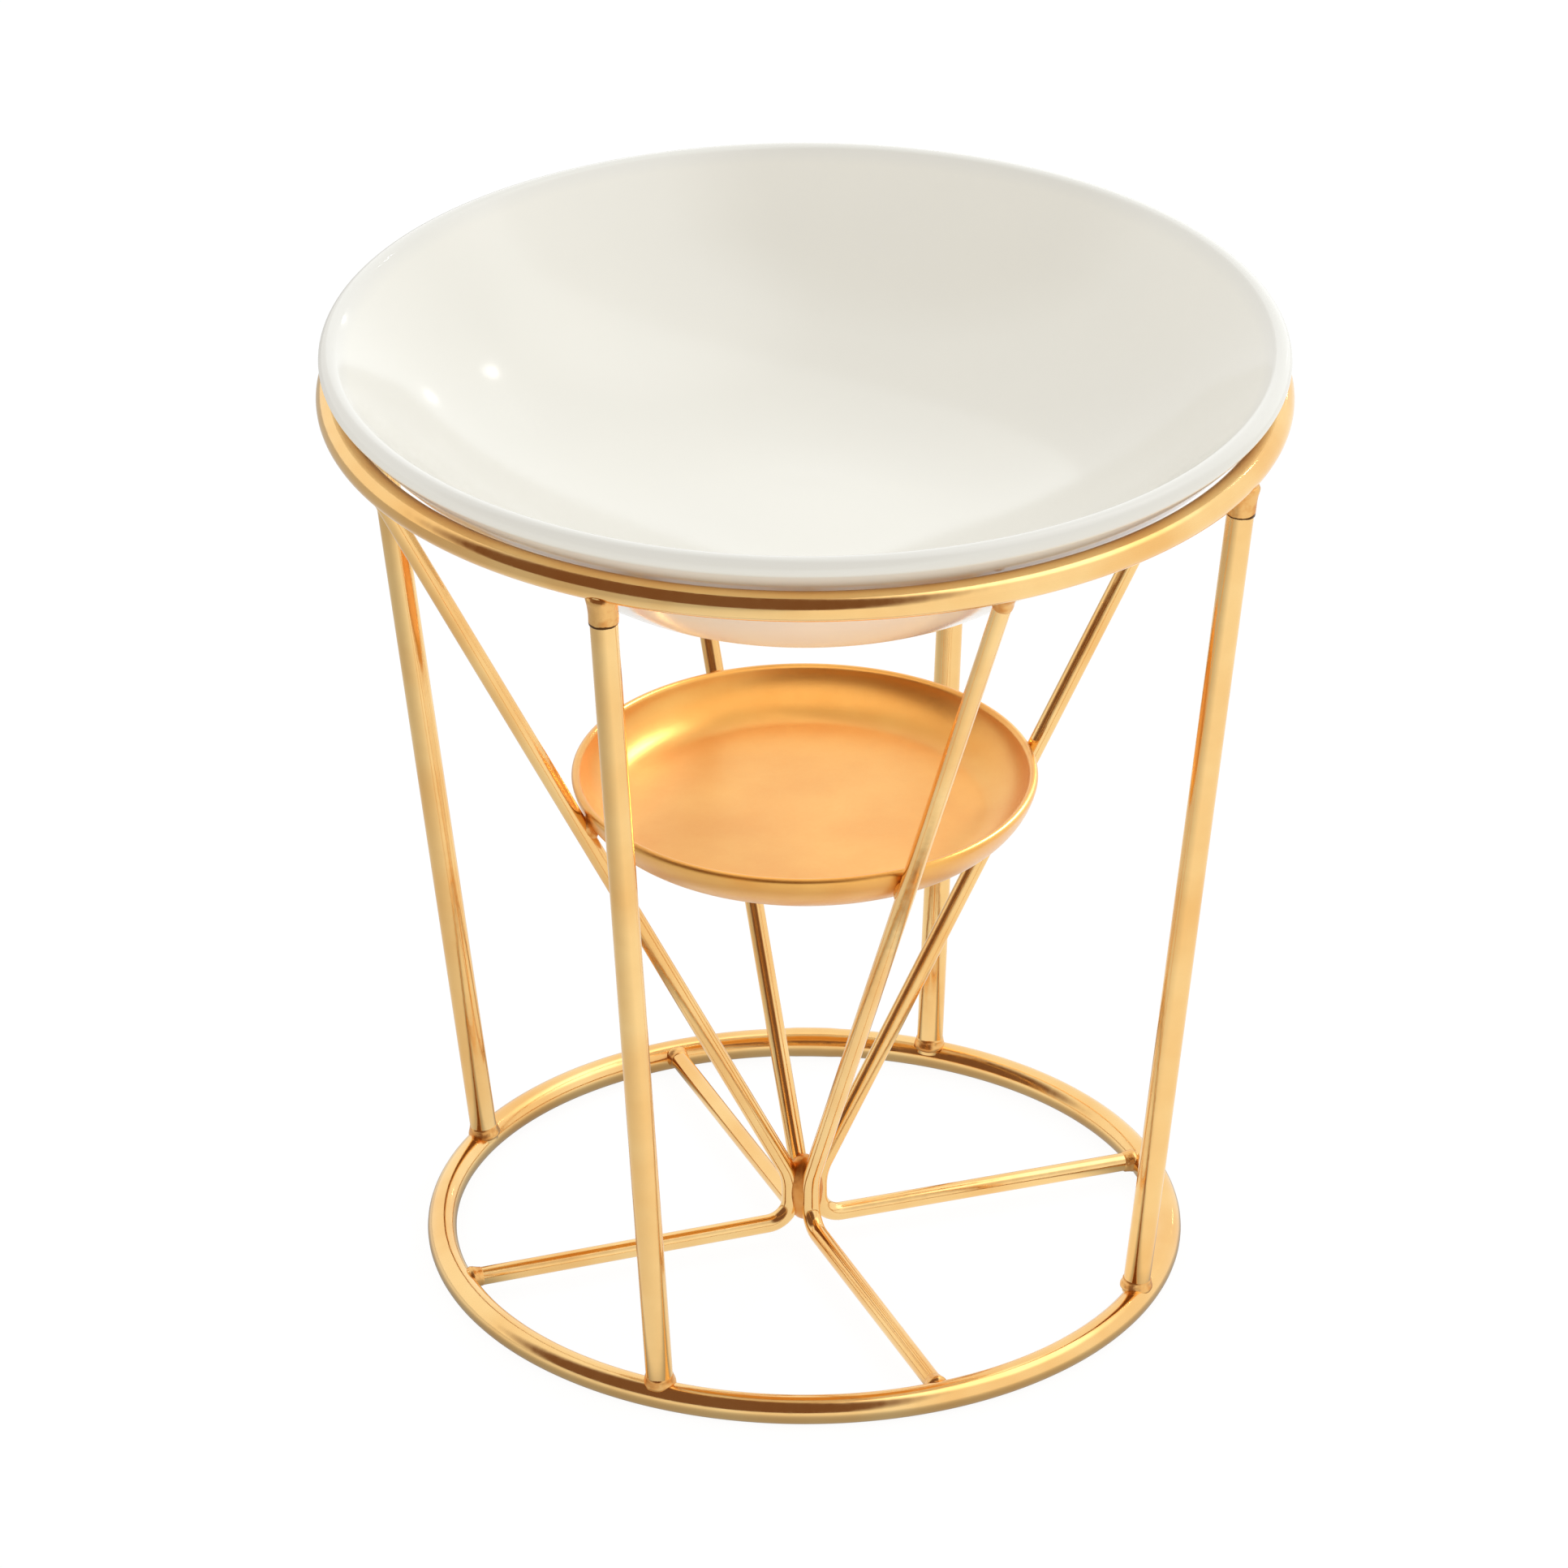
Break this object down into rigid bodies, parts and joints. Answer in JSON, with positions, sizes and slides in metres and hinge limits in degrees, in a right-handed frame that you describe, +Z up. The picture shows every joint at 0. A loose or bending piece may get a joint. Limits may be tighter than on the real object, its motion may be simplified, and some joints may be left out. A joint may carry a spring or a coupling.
{
  "type": "essential oil burner",
  "caption": "White glazed dish resting on a gold wire frame with a round candle plate under it, for warming scented oil.",
  "frame": {"origin": "on the floor, under the middle of the base ring", "axes": "+Z up along the axis of the rings; -Y towards the viewer of the picture, +X to the right"},
  "size_m": [0.1238, 0.1238, 0.1303],
  "materials": {
    "white_glaze": "gloss",
    "polished_gold": "polished plate",
    "satin_gold": "satin plate",
    "weld_gold": "polished plate"
  },
  "bodies": {
    "frame": {"top_ring": "polished_gold", "base_ring": "polished_gold", "upright_front": "polished_gold", "upright_right": "polished_gold", "upright_back": "polished_gold", "upright_left": "polished_gold", "stay_front": "polished_gold", "stay_right": "polished_gold", "stay_back": "polished_gold", "stay_left": "polished_gold", "candle_plate": "satin_gold", "upright_top_welds": "weld_gold", "upright_foot_welds": "weld_gold", "stay_top_welds": "weld_gold", "spoke_welds": "weld_gold", "hub_weld": "weld_gold", "plate_welds": "weld_gold"},
    "dish": {"oil_dish": "white_glaze"}
  },
  "joints": [
    {"name": "dish_lift", "type": "slide", "parent": "frame", "child": "dish", "axis": [0, 0, 1], "range_m": [0, 0.12]}
  ]
}
